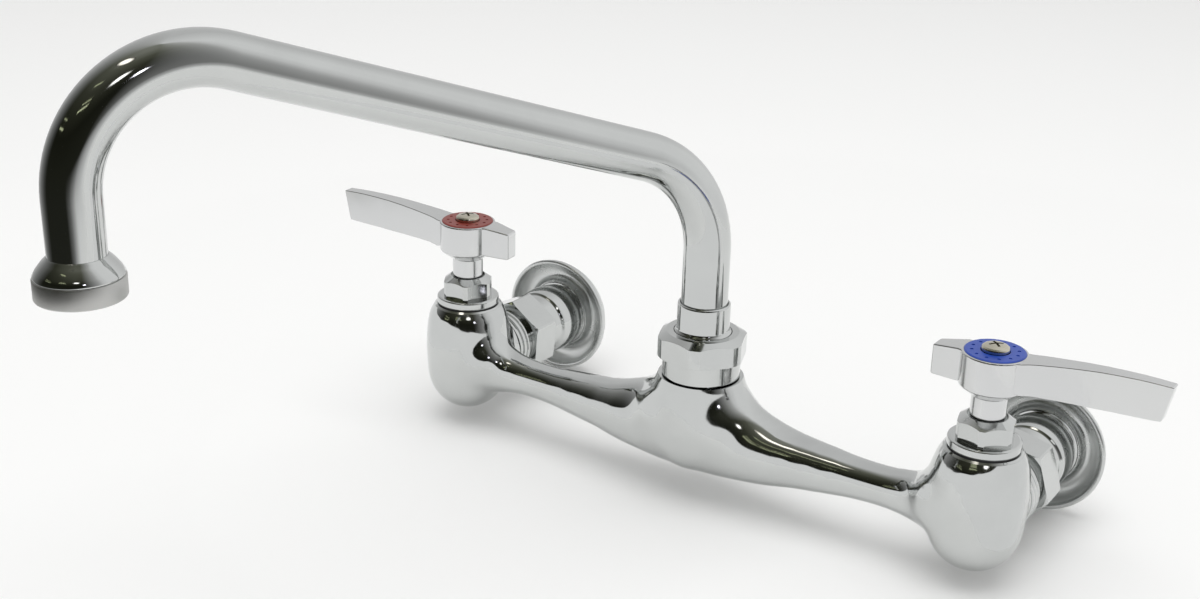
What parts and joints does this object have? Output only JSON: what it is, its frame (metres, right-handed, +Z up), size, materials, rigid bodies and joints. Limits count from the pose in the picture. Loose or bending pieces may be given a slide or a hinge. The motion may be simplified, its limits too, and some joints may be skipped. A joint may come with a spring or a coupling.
{
  "type": "wall-mounted kitchen faucet",
  "caption": "Commercial wall faucet with a cast body on a pair of wall inlets, quarter-turn lever handles and a long swinging spout.",
  "frame": {"origin": "on the wall, midway between the two inlet axes and at their height", "axes": "+X from the hot inlet to the cold inlet, +Y into the wall, +Z up; the front faces -Y"},
  "size_m": [0.3102, 0.2615, 0.1769],
  "materials": {
    "chrome": "polished chrome plate",
    "satin_chrome": "satin chrome plate",
    "nickel": "bright nickel plate",
    "brass": "machined",
    "steel": "spring steel",
    "rubber": "matt moulded rubber",
    "ceramic": "lapped alumina",
    "nylon": "moulded nylon",
    "red_index": "semi-gloss moulded plastic",
    "blue_index": "semi-gloss moulded plastic"
  },
  "bodies": {
    "faucet_body": {"cast_body": "chrome", "spout_nut": "chrome", "hot_bonnet": "chrome", "hot_bonnet_gasket": "rubber", "hot_fixed_disc": "ceramic", "hot_seat_seal": "rubber", "hot_coupling_nut": "chrome", "hot_coupling_washer": "rubber", "hot_nut_retaining_ring": "steel", "hot_inlet_shank": "chrome", "hot_wall_flange": "chrome", "cold_bonnet": "chrome", "cold_bonnet_gasket": "rubber", "cold_fixed_disc": "ceramic", "cold_seat_seal": "rubber", "cold_coupling_nut": "chrome", "cold_coupling_washer": "rubber", "cold_nut_retaining_ring": "steel", "cold_inlet_shank": "chrome", "cold_wall_flange": "chrome"},
    "spout": {"spout_tube": "chrome", "spout_collar": "chrome", "spout_o_rings": "rubber", "spout_retaining_ring": "nylon", "spout_tip": "chrome", "aerator_housing": "satin_chrome", "aerator_insert": "nylon", "aerator_screen": "steel", "aerator_washer": "rubber"},
    "hot_handle": {"hot_spindle": "brass", "hot_spindle_o_rings": "rubber", "hot_thrust_washer": "nylon", "hot_spindle_clip": "steel", "hot_moving_disc": "ceramic", "hot_lever_handle": "satin_chrome", "hot_index_ring": "red_index", "hot_handle_screw": "nickel"},
    "cold_handle": {"cold_spindle": "brass", "cold_spindle_o_rings": "rubber", "cold_thrust_washer": "nylon", "cold_spindle_clip": "steel", "cold_moving_disc": "ceramic", "cold_lever_handle": "satin_chrome", "cold_index_ring": "blue_index", "cold_handle_screw": "nickel"}
  },
  "joints": [
    {"name": "spout_swing", "type": "hinge", "parent": "faucet_body", "child": "spout", "pos_m": [0, -0.065, 0.03], "axis": [0, 0, 1], "range_deg": [-75, 125]},
    {"name": "hot_handle_turn", "type": "hinge", "parent": "faucet_body", "child": "hot_handle", "pos_m": [-0.1016, -0.065, 0.04], "axis": [0, 0, 1], "range_deg": [0, 90]},
    {"name": "cold_handle_turn", "type": "hinge", "parent": "faucet_body", "child": "cold_handle", "pos_m": [0.1016, -0.065, 0.04], "axis": [0, 0, 1], "range_deg": [-90, 0]}
  ]
}
